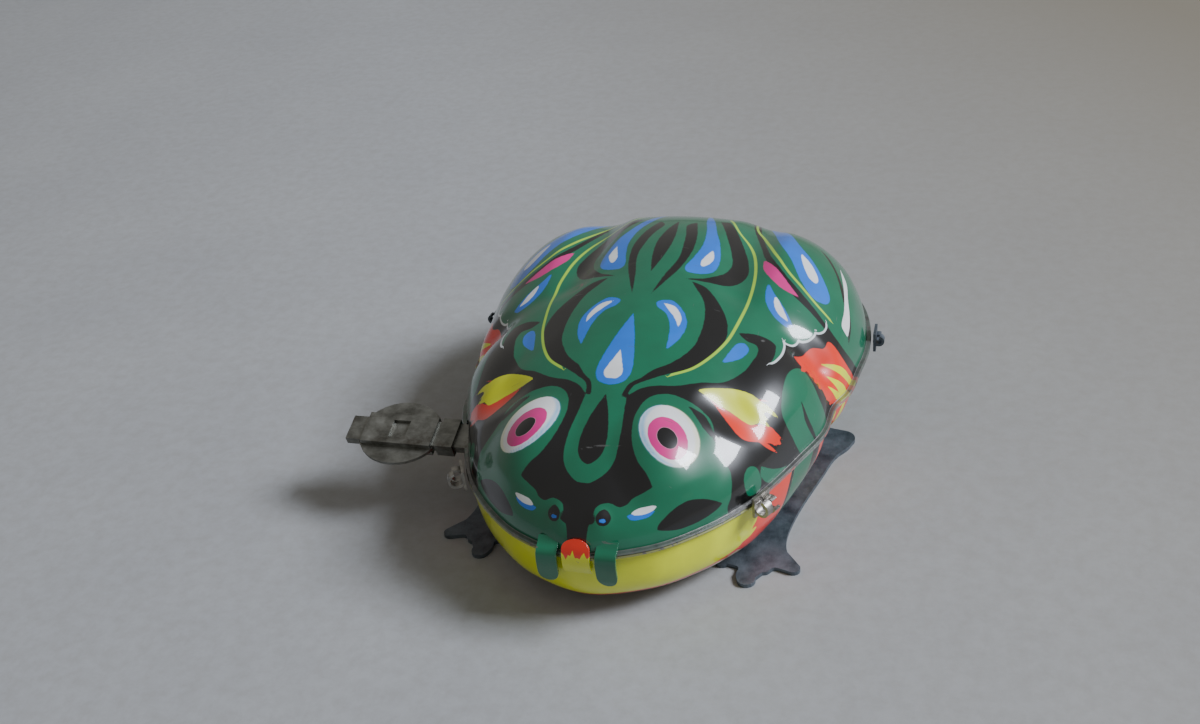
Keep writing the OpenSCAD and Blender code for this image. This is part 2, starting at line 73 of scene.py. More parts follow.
def bump(x, y, at, size):
    """Height of a round bump, 1 in its middle and 0 outside."""
    d = ((np.abs(x) - at[0]) / size[0]) ** 2 + ((y - at[1]) / size[1]) ** 2
    return np.where(d < 1, (1 - d) ** 2, 0)


def pressing(x, y):
    """Pressed eyes, nostrils, thighs, back, front legs and the valleys between them."""
    return (
        1.7 * bump(x, y, (9.2, -28), (7.4, 7.8)) + 0.7 * bump(x, y, (2.75, -37.5), (2.1, 1.9))
        + 1.6 * bump(x, y, (20, 14), (10, 19)) - 1.3 * bump(x, y, (12.4, 17), (5, 21))
        + 0.6 * bump(x, y, (0, 6), (12, 26)) + 0.9 * bump(x, y, (20.5, -11), (6, 8))
        - 0.9 * bump(x, y, (15.5, -19), (5, 4)) - 0.8 * bump(x, y, (25, -1.5), (7, 4))
    )


def outline_point(share, sizes):
    """Points of the seam outline; share runs from 0 at the nose over the left side back to 1."""
    half = np.array(HALF_OUTLINE) * (sizes.half_width * 1000, sizes.half_length * 1000)
    control = np.vstack([half, half[-2:0:-1] * (-1, 1)])
    count = len(control)
    place = (share % 1) * count
    k = np.floor(place).astype(int)
    t = (place - k)[:, None]
    a, b, c, d = (control[(k + step) % count] for step in (-1, 0, 1, 2))
    return 0.5 * (2 * b + (c - a) * t + (2 * a - 5 * b + 4 * c - d) * t ** 2
                  + (3 * b - a - 3 * c + d) * t ** 3)


def upper_skin(way, a, inset, sizes):
    """Points of the upper skin along the rays at a, from 0 at the top to 90 degrees at the seam."""
    reach = np.hypot(way[:, 0], way[:, 1])
    share = np.sin(np.radians(a))
    x = way[:, 0] * share * (1 - inset / reach)
    y = sizes.pole * 1000 + way[:, 1] * share * (1 - inset / reach)
    dome = sizes.back_height * 1000 + sizes.hump_height * 1000 * smooth((y - 2.7) / 34)
    lift = pressing(x, y) * smooth((1 - share) * 14)
    rise = math.sqrt(max(0, 1 - share ** 1.8))
    z = sizes.seam * 1000 + rise * (dome - inset) + lift * (1 - 0.6 * share ** 6)
    out = lift * share ** 3 / reach
    return np.column_stack([x + way[:, 0] * out, y + way[:, 1] * out, z])


def lower_skin(way, a, inset, sizes):
    """Points of the lower skin; the chin is squarer than the flanks."""
    reach = np.hypot(way[:, 0], way[:, 1])
    share = math.sin(math.radians(a))
    chin = smooth((-way[:, 1] / reach - 0.45) / 0.45)
    drop = np.maximum(0, 1 - share ** (4 + 8 * chin)) ** (0.455 - 0.2 * chin)
    seam = sizes.seam * 1000
    depth = seam - sizes.belly_gap * 1000 - inset
    flat = way * (share * (1 - inset / reach))[:, None]
    return np.column_stack([flat[:, 0], flat[:, 1] + sizes.pole * 1000, seam - drop * depth])


# ---- Printed artwork, drawn flat in millimetres for the left half ------------------------------
# The upper sheet is drawn with the nose toward -Y. A third number of 0 makes a corner.

SCALLOPS = [(13.9, -4), (14.5, 0.5), (16.1, 2), (17.6, 3.9), (18.6, 6.2)]


def scalloped(corners, bulge):
    """Corners joined by small arcs that bulge to the right of the way they run."""
    points = []
    for (ax, ay), (bx, by) in zip(corners, corners[1:]):
        dx, dy = bx - ax, by - ay
        size = math.hypot(dx, dy)
        points.append((ax, ay, 0))
        for t in (0.15, 0.5, 0.85):
            out = bulge * math.sin(math.pi * t) ** 0.6 / size
            points.append((ax + dx * t + dy * out, ay + dy * t - dx * out))
    return points + [(*corners[-1], 0)]


FACE = [
    (-1, -12.3, 0), (2, -12.3, 0), (2.75, -11.25), (4, -10.5), (6, -10), (8, -9), (10, -8.25),
    (11.5, -6.25), (11.9, -5), (12.25, -3.1), (11.9, -1.9), (10.7, -1.6), (9.75, -0.9, 0),
    (11.6, -0.3), (13.5, -0.6), (14, -1.9), *scalloped(SCALLOPS, 0.55),
    (21, 5.4), (24, 5.2), (28, 7.3, 0), (34, 9, 0), (34, -30, 0), (20, -46, 0), (-1, -46, 0),
]
EYE_PATCH = [
    (4.4, -11.7), (6, -11.3), (8.5, -12.25), (10.25, -13.75), (11.5, -16.8), (13.25, -19.25),
    (14.5, -21), (15.75, -24.5), (16.2, -27), (18, -31), (20, -40, 0), (8, -46, 0), (1.2, -46, 0),
    (1.2, -33), (1.8, -31.5), (1.6, -30), (1.9, -28.3), (3, -27.6), (4, -28.25, 0), (4.75, -27.7),
    (5.25, -26.5), (6.1, -25.5), (6.9, -24.5, 0), (6, -22.75), (4.75, -21), (3.75, -18.5),
    (3.25, -15.5), (3.5, -13),
]
STEM = [
    (-3, -10.9, 0), (1.2, -10.9, 0), (1.8, -11.75), (2.1, -14.25), (2.4, -17), (2.55, -19.25),
    (2.5, -21.4), (2, -23), (0.9, -24.5), (0, -24.8), (-3, -24.8, 0),
]
STEM_DROP = [
    (0, -12.25, 0), (0.75, -14.8), (1.2, -17.3), (1.3, -19), (1.05, -20.8), (0, -22),
    (-1.05, -20.8), (-1.3, -19), (-1.2, -17.3), (-0.75, -14.8),
]
C_BAND = [
    (4, 4.8, 0), (5.4, 4.4), (6.9, 2.8), (8.2, 0.6), (8.8, -1.6), (8.65, -3.75), (7.9, -5.9),
    (6.6, -7.5), (4.75, -8.75), (3.5, -9.7), (2.2, -10.9), (1.95, -12.4, 0), (1.4, -12.4, 0),
    (1.75, -10.7), (2.7, -9.6), (3.5, -8.4), (5, -6.9), (6.15, -4.7), (6.4, -2.6), (6.3, -0.3),
    (5.7, 2.2), (4.6, 3.9),
]
REAR_BAND = [
    (3.2, 5, 0), (6.3, 5.6), (7.9, 6.9), (8.6, 8.75), (8.3, 10.9), (7.6, 13.1), (6.3, 16.25),
    (5, 18.9, 0), (4.1, 18.5, 0), (5.4, 14.4), (6.3, 11.9), (6.8, 9.7), (6.3, 7.5), (5, 5.9),
]
FLANK_LEAF = [
    (0.85, 1.7, 0), (1.8, 4.4), (2.55, 6.9), (2.95, 10), (2.7, 13.1), (1.9, 17, 0),
    (1.15, 15.6), (1.6, 13.1), (1.9, 10.6), (2, 8.1), (1.4, 5.2),
]
MIDDLE_LEAF = [
    (0, 5.4, 0), (0.5, 8), (0.75, 11), (0.5, 14), (0, 17, 0), (-0.5, 14), (-0.75, 11), (-0.5, 8),
]
THIGH_BORDER = [
    (7.2, 24, 0), (7.7, 20), (8.6, 16.25), (9.85, 11.9), (11.2, 9.3), (13.5, 7.1), (16, 6.1),
    (19.75, 5.1), (23.5, 4.8), (28.2, 7.1, 0), (23.5, 5.7), (19.75, 5.8), (16.4, 6.9),
    (14, 8.1), (12, 9.7), (10.4, 12.2), (9.2, 16.25), (8.5, 20), (8.2, 24, 0),
]
THIGH_BAND = [
    (15.2, 18.6, 0), (17.9, 15.3), (19.75, 12.2), (21.9, 9.4), (23.6, 7.2, 0), (22.7, 10),
    (19.9, 13.4), (17, 17.4),
]
CHEEK_LEAF = [
    (8.8, -32.1, 0), (8.7, -31), (9.25, -29), (10, -27.2), (11.1, -25.9), (13, -25.5), (15.1, -26, 0),
    (14.8, -27.4), (13.5, -29.75), (11.6, -31.6), (10.2, -32.1),
]
NOSTRIL = [(2.75, -28.7), (3.5, -30), (3.3, -31.4), (2.6, -31.8), (2.05, -31), (2.05, -29.6)]
EYE_SLIT = [(7.6, -12.4, 0), (9.3, -13.1), (10.4, -14.6), (11.2, -16.4, 0), (9.7, -15), (8.6, -13.6)]
LEG_OVAL = [
    (16, -4.9), (16.7, -3), (17.9, -2.35), (19.75, -3.1), (21.6, -4.4), (24.1, -5.6), (30, -8, 0),
    (30, -17, 0), (25, -14.9), (22.5, -13.8), (20, -12.25), (17.5, -10.3), (16.4, -8),
]
LEG_SLIT = [(18.8, -6.9, 0), (21.2, -8.5), (23.5, -9.7), (27.5, -11.6, 0), (23.3, -10.4), (20.9, -9.1)]
EAR = [(16.2, -19.2), (17.5, -19.2), (19.2, -21.5), (19.5, -23.2), (18.4, -24.3), (17.2, -23), (16.2, -21)]
ARMPIT = [(17.8, -18.6, 0), (20.4, -18.4), (24, -16.2, 0), (24, -21, 0), (20.2, -21.2), (18.6, -20.2)]
SIDE_PATCH = [
    (16.2, -0.9, 0), (17.4, 0.5), (18.1, 2.1), (19.6, 2.9), (20, 4.3), (23.5, 4.2), (26, 4.5),
    (32, 6.5, 0), (32, 1.5, 0), (28.2, 0.9), (26.9, -1.6), (24.1, -3.0), (21.9, -2.4),
    (19.75, -1.9), (17.3, -1.7),
]
CENTRE_DROP = [
    (0, -1.2, 0), (0.7, -3.7), (1.3, -6.5), (1.62, -8.9), (1.2, -10.4), (0, -10.95),
    (-1.2, -10.4), (-1.62, -8.9), (-1.3, -6.5), (-0.7, -3.7),
]
CENTRE_LIGHT = [
    (0, -6.2, 0), (0.45, -7.7), (0.85, -9.1), (0.6, -9.95), (0, -10.1), (-0.6, -9.95),
    (-0.85, -9.1), (-0.45, -7.7),
]
CRESCENT = [
    (1.8, 0.9), (3.1, 1.25), (4.45, -0.2), (5, -2), (4.7, -4), (3.95, -5.5, 0), (3.8, -3.75),
    (3.55, -2.2), (2.9, -0.7), (1.9, 0.1),
]
CRESCENT_LIGHT = [(2.3, 0.75, 0), (3.5, 0.45), (4.35, -1), (4.3, -2.2, 0), (3.7, -1), (2.8, 0.1)]
REAR_DROP = [
    (3.4, 6.2), (2.9, 7), (3.3, 8.75), (3.65, 11.25), (3.4, 14.4), (2.7, 18.1), (2.2, 23, 0),
    (3.5, 18.3), (4.4, 14.5), (5.2, 11.9), (5.7, 9), (5.3, 6.9),
]
REAR_LIGHT = [(4.75, 10.8, 0), (5.1, 9.2), (4.8, 8.1), (4.3, 7.6), (4.1, 8.5)]
BROW_DROP = [(10.7, -2.1), (11.3, -2.9), (11, -4.1), (10.2, -5), (9.2, -5.7, 0), (9.6, -3.75), (10, -2.5)]
SIDE_DROP = [(11, 7.3), (11.9, 6.1), (13.5, 4.5), (14.9, 3, 0), (14.1, 2.6), (12.5, 3.3), (11.2, 5)]
SIDE_LIGHT = [(12.1, 5.8), (13.1, 4.7), (14.2, 3.3, 0), (13, 3.7), (12.2, 4.7)]
THIGH_DROP = [
    (9, 27.5, 0), (10.5, 23.75), (11.6, 19.7), (12.9, 16), (14.75, 13.75), (16.4, 11.9),
    (17.9, 10), (17.7, 8.7), (16, 8.1), (14.1, 9.4), (12.6, 11.9), (11, 15), (10, 19.7),
]
THIGH_LIGHT = [(13.3, 14.1, 0), (14.8, 12.8), (15.9, 11.2), (15.7, 10.3), (14.75, 10.6), (13.8, 12.2)]
THIGH_WHITE = [(18.6, 18, 0), (20, 16), (20.8, 13), (22.3, 10), (22.8, 8, 0), (21, 8.2), (20.6, 10.4),
               (19.9, 13.2), (19.2, 15.6)]
PINK_DROP = [(9.8, 11.6, 0), (11.4, 9.8), (13, 8.2), (14.5, 7, 0), (12.55, 7.2), (11, 8.3), (10, 9.9)]
FLAME = [
    (7.9, -10, 0), (9, -9.4), (10.25, -9), (11.75, -8.7), (13.5, -9), (15, -10), (15.2, -11.7),
    (14.5, -12.8), (13.25, -12.4), (11.75, -11.6), (10.25, -11), (9, -10.5),
]
EMBER = [
    (8.6, -10.3, 0), (10.25, -11), (12, -11.7), (13.4, -12.4), (15, -12.6), (17, -12.4), (19.3, -14.3, 0),
    (16.5, -14.9), (14.5, -15.3), (13.2, -14.6), (12.2, -13.6), (11, -12.3), (9.8, -11.1),
]
CHEEK_LIGHT = [(5.5, -29.3), (6.1, -28.1), (7.9, -27.2, 0), (7.6, -28.3), (6.6, -29.2)]
CHEEK_BLUE = [(5.1, -29.6), (5.6, -30.3), (6.6, -30.1), (7.5, -29.3), (7.9, -28, 0), (6.6, -29), (5.6, -29.2)]
LIME_LINE = [
    (4.9, 20.5), (6.15, 17.2), (7.6, 15.2), (8.6, 12.7), (9.3, 9.4), (9.6, 6.25), (9.6, 3.1), (9.3, -0.6),
    (8.9, -2.9), (8, -5.4), (6.8, -7.4), (5.2, -8.7),
]
THIGH_LINE = [
    (7.7, 24), (8, 20.6), (8.9, 18), (9.9, 14.9), (11, 12.2), (12.5, 10), (14.4, 8.6), (16.6, 7.6), (19, 7.2),
]
SCALLOP_LINE = scalloped(SCALLOPS, 0.55)


def oval(centre, size, lean=0, count=16):
    """Points of an ellipse whose long axis leans from the Y direction."""
    turn = math.radians(lean)
    points = []
    for k in range(count):
        a = 2 * math.pi * k / count
        u, v = size[0] * math.cos(a), size[1] * math.sin(a)
        points.append((centre[0] - u * math.sin(turn) + v * math.cos(turn),
                       centre[1] + u * math.cos(turn) + v * math.sin(turn)))
    return points


def leaf(start, end, width, sag=0.0):
    """One pointed brush stroke."""
    a, b = np.array(start, float), np.array(end, float)
    along = b - a
    side = np.array((-along[1], along[0])) / np.hypot(*along)
    middle = (a + b) / 2 + side * sag
    return [(*a, 0), tuple(middle + side * width / 2), (*b, 0), tuple(middle - side * width / 2)]


def brush(start, end, width, strokes, length):
    """Ragged end of a brushed area: strokes side by side from start to end, each as long as length."""
    a, b, way = np.array(start, float), np.array(end, float), np.array(length, float)
    made = []
    for k in range(strokes):
        root = a + (b - a) * (k + 0.5) / strokes
        tip = root + way * (0.65 + 0.35 * math.cos(2.4 * k))
        made.append(leaf(root - way * 0.4, tip, width))
    return made


# Parts of the print in order: ink, +1 to lay it or -1 to leave it out, and the outlines
EYE = (7.0, -17.1)
EYE_SIZE = (4.5, 2.65)
EYE_LEAN = 27
PUPIL = oval((6.9, -17.7), (1.5, 0.9), EYE_LEAN)
UPPER_PRINT = [
    ("black", 1, [FACE]),
    ("black", -1, [EYE_PATCH, STEM, LEG_OVAL, EAR, ARMPIT]),
    ("black", 1, [STEM_DROP, C_BAND, REAR_BAND, FLANK_LEAF, MIDDLE_LEAF, THIGH_BORDER, THIGH_BAND,
                  CHEEK_LEAF, NOSTRIL, EYE_SLIT, LEG_SLIT, PUPIL]),
    ("red", 1, [SIDE_PATCH, EMBER, leaf((8.4, -9.6), (15.8, -8.9), 0.5, -0.5)]
     + brush((16.2, -12.4), (16.6, -15.2), 0.6, 6, (3.0, -0.9))
     + brush((17.5, -1.7), (26, -2.6), 0.8, 7, (-0.5, -0.9))),
    ("yellow", 1, [FLAME] + brush((14.2, -9.4), (14.2, -12.4), 0.75, 5, (3.0, -1.1))
     + [leaf((20.4, 1.2), (30, 3.6), 1.3, 0.3), leaf((22, 0.2), (31, 1.6), 1.4, -0.2),
        leaf((23, -1), (31, 0), 1.1), leaf((24.4, 2.6), (31, 5), 0.7)]),
    ("blue", 1, [CENTRE_DROP, CRESCENT, REAR_DROP, BROW_DROP, SIDE_DROP, THIGH_DROP, CHEEK_BLUE,
                 oval((2.7, -30.8), (0.42, 0.36))]),
    ("white", 1, [CENTRE_LIGHT, CRESCENT_LIGHT, REAR_LIGHT, SIDE_LIGHT, THIGH_LIGHT, THIGH_WHITE,
                  CHEEK_LIGHT, oval(EYE, EYE_SIZE, EYE_LEAN)]),
    ("white", -1, [PUPIL]),
    ("pink", 1, [PINK_DROP, oval((6.95, -17.6), (3.05, 1.75), EYE_LEAN)]),
    ("pink", -1, [PUPIL]),
    ("bare", 1, [leaf((-1.6, -20.2), (3.2, -19.1), 0.3, 0.35), leaf((12.1, -1), (12.6, -0.7), 0.35),
                 leaf((-3.4, -30.5), (-2.6, -30.1), 0.2)]),
]

# The lower sheet is drawn unrolled: distance round the seam from the nose, and height
LOWER_PRINT = [
    ("yellow", 1, [[(-9, 3.9, 0), (12, 3.95), (19, 4.4), (22.4, 5.0, 0), (24, 7), (25.6, 9.4),
                    (26.6, 12.5, 0), (-9, 12.5, 0)]]),
    ("red", 1, [[(-9, 3.4, 0), (12, 3.45), (19, 3.9), (22.6, 4.4, 0), (22.4, 5.1, 0), (19, 4.5), (12, 4),
                 (-9, 3.95, 0)],
                [(22, 4.4, 0), (24, 7), (25.6, 9.4), (26.5, 12.5, 0), (35, 12.5, 0), (33.6, 9), (31.4, 5),
                 (28, 2.8), (24, 3)]]),
    ("yellow", 1, brush((23.2, 5.4), (26.4, 11.6), 0.8, 9, (2.6, 0.9))),
    ("green", 1, [[(35.8, 12.5, 0), (34.4, 9), (32, 4.4), (29.5, 1.6, 0), (33, 1.4, 0), (37, 4),
                   (40.6, 12.5, 0)],
                  [(58, 12.5, 0), (56, 6), (55, 1.2, 0), (120, 1.2, 0), (120, 12.5, 0)]]),
    ("black", 1, [[(35.1, 12.5, 0), (33.6, 9), (31.3, 4.6), (28.2, 1.8, 0), (29.5, 1.6, 0), (32, 4.4),
                   (34.4, 9), (35.8, 12.5, 0)],
                  [(40.6, 12.5, 0), (37, 4), (33, 1.4, 0), (36, 1.2, 0), (40, 4.4), (43, 12.5, 0)]]),
    ("red", 1, [[(42.6, 12.5, 0), (39.6, 4.4), (36, 1.2, 0), (55.4, 1.2, 0), (56, 6), (57, 12.5, 0)]]),
    ("yellow", 1, [leaf((46, 12.5), (40.5, 1.5), 1.6, 0.6), leaf((48.8, 13), (43.6, 1.5), 2, 0.4),
                   leaf((51, 13), (46.6, 2), 1.4), leaf((53.6, 13), (49.6, 3), 1.2)]),
    ("black", 1, brush((70, 2), (104, 2), 2.2, 9, (1.5, 8))),
]


def flowing(points, closed=True, steps=7):
    """Smooth line through the points, with a corner where a third number is 0."""
    place = np.array([p[:2] for p in points], float)
    ease = np.array([p[2] if len(p) > 2 else 1 for p in points], float)[:, None]
    if closed:
        before, after = np.roll(place, 1, axis=0), np.roll(place, -1, axis=0)
    else:
        before = np.vstack([place[:1], place[:-1]])
        after = np.vstack([place[1:], place[-1:]])
    pull = (after - before) / 2 * ease
    line = []
    for k in range(len(place) if closed else len(place) - 1):
        n = (k + 1) % len(place)
        for t in np.arange(steps) / steps:
            line.append((2 * t ** 3 - 3 * t ** 2 + 1) * place[k] + (t ** 3 - 2 * t ** 2 + t) * pull[k]
                        + (3 * t ** 2 - 2 * t ** 3) * place[n] + (t ** 3 - t ** 2) * pull[n])
    if not closed:
        line.append(place[-1])
    return np.array(line)


def distance_to(points, line, closed):
    """Unsigned distance and side of each point from a line of short pieces."""
    best = np.full(len(points), 1e9)
    side = np.ones(len(points))
    odd = np.zeros(len(points), bool)
    x, y = points[:, 0], points[:, 1]
    for k in range(len(line) if closed else len(line) - 1):
        ax, ay = line[k]
        bx, by = line[(k + 1) % len(line)]
        dx, dy = bx - ax, by - ay
        size = dx * dx + dy * dy
        if size < 1e-12:
            continue
        t = np.clip(((x - ax) * dx + (y - ay) * dy) / size, 0, 1)
        d = np.hypot(x - ax - t * dx, y - ay - t * dy)
        closer = d < best
        best = np.where(closer, d, best)
        side = np.where(closer, np.sign(dx * (y - ay) - dy * (x - ax)), side)
        crosses = (ay > y) != (by > y)
        if crosses.any():
            meet = ax + (y - ay) / dy * dx
            odd ^= crosses & (x < meet)
    return best, side, odd


def area_distance(points, outline):
    """Distance from the edge of a closed outline, negative inside and never above REACH."""
    line = flowing(outline)
    near = np.all((points > line.min(axis=0) - REACH) & (points < line.max(axis=0) + REACH), axis=1)
    result = np.full(len(points), REACH)
    if near.any():
        best, _, odd = distance_to(points[near], line, True)
        result[near] = np.clip(np.where(odd, -best, best), -REACH, REACH)
    return result


def line_distance(points, path):
    """Signed distance across an open line, and the plain distance from it."""
    line = flowing(path, closed=False)
    near = np.all((points > line.min(axis=0) - REACH) & (points < line.max(axis=0) + REACH), axis=1)
    across = np.full(len(points), REACH)
    plain = np.full(len(points), REACH)
    if near.any():
        best, side, _ = distance_to(points[near], line, False)
        across[near] = np.clip(best * side, -REACH, REACH)
        plain[near] = np.minimum(best, REACH)
    return across, plain


INKS = ("green", "black", "red", "yellow", "blue", "white", "pink", "bare")


def print_layers(points, passes, ground):
    """One signed distance per ink for every point of the sheet."""
    layers = {ink: np.full(len(points), REACH) for ink in INKS}
    if ground:
        layers[ground][:] = -REACH
    for ink, way, outlines in passes:
        # On a sheet with no ground ink, green and black leave out the brighter inks under them
        covers = ink in ("green", "black") and not ground
        for outline in outlines:
            found = area_distance(points, outline)
            if way < 0:
                layers[ink] = np.maximum(layers[ink], -found)
                continue
            layers[ink] = np.minimum(layers[ink], found)
            if covers:
                layers["red"] = np.maximum(layers["red"], -found)
                layers["yellow"] = np.maximum(layers["yellow"], -found)
    return layers


# ---- Materials ---------------------------------------------------------------------------------


def tone(hex_colour):
    """Linear colour of an sRGB hex value."""
    parts = [int(hex_colour[k:k + 2], 16) / 255 for k in (1, 3, 5)]
    return [c / 12.92 if c <= 0.04045 else ((c + 0.055) / 1.055) ** 2.4 for c in parts] + [1.0]


def put(tree, kind, inputs=None, **settings):
    """Adds a node with its settings; an input given as a socket is linked, else it is set."""
    made = tree.nodes.new(kind)
    for key, value in settings.items():
        setattr(made, key, value)
    for key, value in (inputs or {}).items():
        if isinstance(value, bpy.types.NodeSocket):
            tree.links.new(value, made.inputs[key])
        else:
            made.inputs[key].default_value = value
    return made


def start_material(name):
    """Empty node material and its tree."""
    material = bpy.data.materials.new(name)
    material.use_nodes = True
    material.node_tree.nodes.clear()
    return material, material.node_tree


def close_material(tree, surface):
    put(tree, "ShaderNodeOutputMaterial", {"Surface": surface.outputs[0]})


def noise(tree, scale, detail=3.0, roughness=0.5, stretch=None):
    """Noise in object coordinates; scale counts waves per metre, stretch squeezes an axis."""
    where = put(tree, "ShaderNodeTexCoord").outputs["Object"]
    if stretch:
        where = put(tree, "ShaderNodeMapping", {"Vector": where, "Scale": stretch}).outputs[0]
    return put(tree, "ShaderNodeTexNoise",
               {"Vector": where, "Scale": scale, "Detail": detail, "Roughness": roughness}).outputs["Fac"]


def spread(tree, value, low, high, to_low=0.0, to_high=1.0):
    """Maps a value between two limits, clamped."""
    return put(tree, "ShaderNodeMapRange",
               {"Value": value, "From Min": low, "From Max": high, "To Min": to_low,
                "To Max": to_high}).outputs[0]


def maths(tree, operation, a, b=0.0):
    return put(tree, "ShaderNodeMath", {0: a, 1: b}, operation=operation, use_clamp=False).outputs[0]


def blend(tree, amount, a, b, kind="MIX"):
    """Mixes two colours."""
    return put(tree, "ShaderNodeMix", {"Factor": amount, 6: a, 7: b}, data_type="RGBA",
               blend_type=kind).outputs[2]


def printed_tin(colours):
    """Tinplate with offset-printed inks under clear varnish, bare where it is cut or scratched."""
    material, tree = start_material("printed_tin")
    wobble = maths(tree, "MULTIPLY", maths(tree, "SUBTRACT", noise(tree, 1400, 2), 0.5), 0.12)
    colour = tone("#c9b591")
    for ink in INKS[:-1]:
        layer = put(tree, "ShaderNodeAttribute", attribute_name="ink_" + ink).outputs["Fac"]
        shown = spread(tree, maths(tree, "ADD", layer, wobble), 0.04, -0.04)
        colour = blend(tree, shown, colour, tuple(colours[ink]) + (1.0,))
        if ink == "yellow":
            # Thin lime and white lines lie over the first four inks
            for line, hex_colour, half in (("lime", "#a9d63c", 0.15), ("pale", "#dfe6e6", 0.13)):
                across = put(tree, "ShaderNodeAttribute", attribute_name="across_" + line).outputs["Fac"]
                plain = put(tree, "ShaderNodeAttribute", attribute_name="near_" + line).outputs["Fac"]
                narrow = spread(tree, maths(tree, "ABSOLUTE", across), half + 0.04, half - 0.04)
                close = spread(tree, plain, 0.6, 0.5)
                colour = blend(tree, maths(tree, "MULTIPLY", narrow, close), colour, tone(hex_colour))
        if ink == "white":
            # Blue and pale yellow register fringes on the white of the eye
            for tint, hex_colour in (("cool", "#57b4e6"), ("warm", "#e8ecb0")):
                fringe = put(tree, "ShaderNodeAttribute", attribute_name="tint_" + tint).outputs["Fac"]
                colour = blend(tree, spread(tree, fringe, 0.15, -0.35), colour, tone(hex_colour))
    # Slight unevenness of the ink film
    film = spread(tree, noise(tree, 260, 4), 0.3, 0.7, 0.9, 1.06)
    film = put(tree, "ShaderNodeCombineColor", {0: film, 1: film, 2: film}).outputs[0]
    colour = blend(tree, 1.0, colour, film, "MULTIPLY")
    # Bare metal: cut edges, deep scratches, hairlines and chips along the lip
    deep = put(tree, "ShaderNodeAttribute", attribute_name="ink_bare").outputs["Fac"]
    deep = spread(tree, maths(tree, "ADD", deep, wobble), 0.05, -0.1, 0.0, 0.75)
    rim = put(tree, "ShaderNodeAttribute", attribute_name="rim").outputs["Fac"]
    worn = maths(tree, "ADD", spread(tree, rim, 1.2, 0.0, 0.0, 0.34),
                 spread(tree, noise(tree, 900, 5, 0.65), 0, 1))
    chips = spread(tree, worn, 0.86, 0.9)
    hair = noise(tree, 150, 2, 0.5, (1.0, 22.0, 3.0))
    hair_2 = noise(tree, 120, 2, 0.5, (24.0, 1.4, 3.0))
    hairs = maths(tree, "MAXIMUM", spread(tree, hair, 0.76, 0.775), spread(tree, hair_2, 0.77, 0.785))
    bare = maths(tree, "MAXIMUM", maths(tree, "MAXIMUM", deep, chips), maths(tree, "MULTIPLY", hairs, 0.5))
    tin = blend(tree, noise(tree, 700, 4), tone("#5f5f5f"), tone("#a3a29f"))
    colour = blend(tree, bare, colour, tin)
    # Fingerprints and dust dull the varnish in patches
    dull = spread(tree, noise(tree, 110, 5, 0.6), 0.42, 0.75)
    rough = put(tree, "ShaderNodeMix", {"Factor": bare, "A": 0.34, "B": 0.42}).outputs[0]
    gloss = spread(tree, dull, 0, 1, 0.05, 0.16)
    relief = maths(tree, "ADD", maths(tree, "MULTIPLY", noise(tree, 420, 2), 0.6),
                   maths(tree, "MULTIPLY", bare, -0.5))
    height = put(tree, "ShaderNodeBump", {"Strength": 0.25, "Distance": 0.00006, "Height": relief})
    surface = put(tree, "ShaderNodeBsdfPrincipled",
                  {"Base Color": colour, "Metallic": maths(tree, "MULTIPLY", bare, 0.9), "Roughness": rough,
                   "Coat Weight": spread(tree, bare, 0, 1, 0.9, 0.0), "Coat Roughness": gloss,
                   "Coat IOR": 1.5, "Normal": height.outputs[0]})
    close_material(tree, surface)
    return material


def metal(name, dark, light, roughness, grain, streak=None, stain=None, metallic=1.0):
    """Bare or blackened metal with mottled tone, grain and uneven roughness."""
    material, tree = start_material(name)
    mottle = noise(tree, grain, 6, 0.62)
    fine = noise(tree, grain * 6, 4, 0.6, streak)
    colour = blend(tree, spread(tree, mottle, 0.3, 0.72), tone(dark), tone(light))
    colour = blend(tree, spread(tree, fine, 0.5, 0.8, 0.0, 0.5), colour, tone(light))
    if stain:
        patch = spread(tree, noise(tree, grain * 0.6, 5, 0.7), 0.56, 0.7, 0.0, 0.75)
        colour = blend(tree, patch, colour, tone(stain))
    rough = maths(tree, "ADD", spread(tree, mottle, 0.25, 0.75, -0.08, 0.12), roughness)
    scratches = spread(tree, noise(tree, grain * 2, 2, 0.5, (1.0, 18.0, 4.0)), 0.66, 0.7)
    relief = maths(tree, "SUBTRACT", fine, maths(tree, "MULTIPLY", scratches, 0.6))
    height = put(tree, "ShaderNodeBump", {"Strength": 0.4, "Distance": 0.00005, "Height": relief})
    surface = put(tree, "ShaderNodeBsdfPrincipled",
                  {"Base Color": colour, "Metallic": metallic, "Roughness": rough, "Normal": height.outputs[0]})
    close_material(tree, surface)
    return material


def floor_paper():
    """Pale speckled board, with painted shade from the window light's falloff darkening it away from the
    window.
    """
    material, tree = start_material("floor_board")
    mottle = noise(tree, 22, 6, 0.6)
    colour = blend(tree, spread(tree, mottle, 0.3, 0.75), tone("#a1a3a5"), tone("#a9abac"))
    speck = spread(tree, noise(tree, 420, 4, 0.7), 0.38, 0.66, 0.0, 0.2)
    colour = blend(tree, speck, colour, tone("#7c7669"))
    # Painted shade: the board's colour darkens towards #7b7567 along a direction away from the window, standing
    # in for the window light falling off
    place = put(tree, "ShaderNodeTexCoord").outputs["Object"]
    away = put(tree, "ShaderNodeVectorMath", {0: place, 1: (0.876, 0.482, 0.0)},
               operation="DOT_PRODUCT").outputs["Value"]
    colour = blend(tree, spread(tree, away, -0.018, 0.175), colour, tone("#7b7567"))
    height = put(tree, "ShaderNodeBump", {"Strength": 0.15, "Distance": 0.0002, "Height": noise(tree, 500, 3)})
    surface = put(tree, "ShaderNodeBsdfPrincipled",
                  {"Base Color": colour, "Roughness": 0.62, "Normal": height.outputs[0]})
    close_material(tree, surface)
    return material


MATERIALS = {}


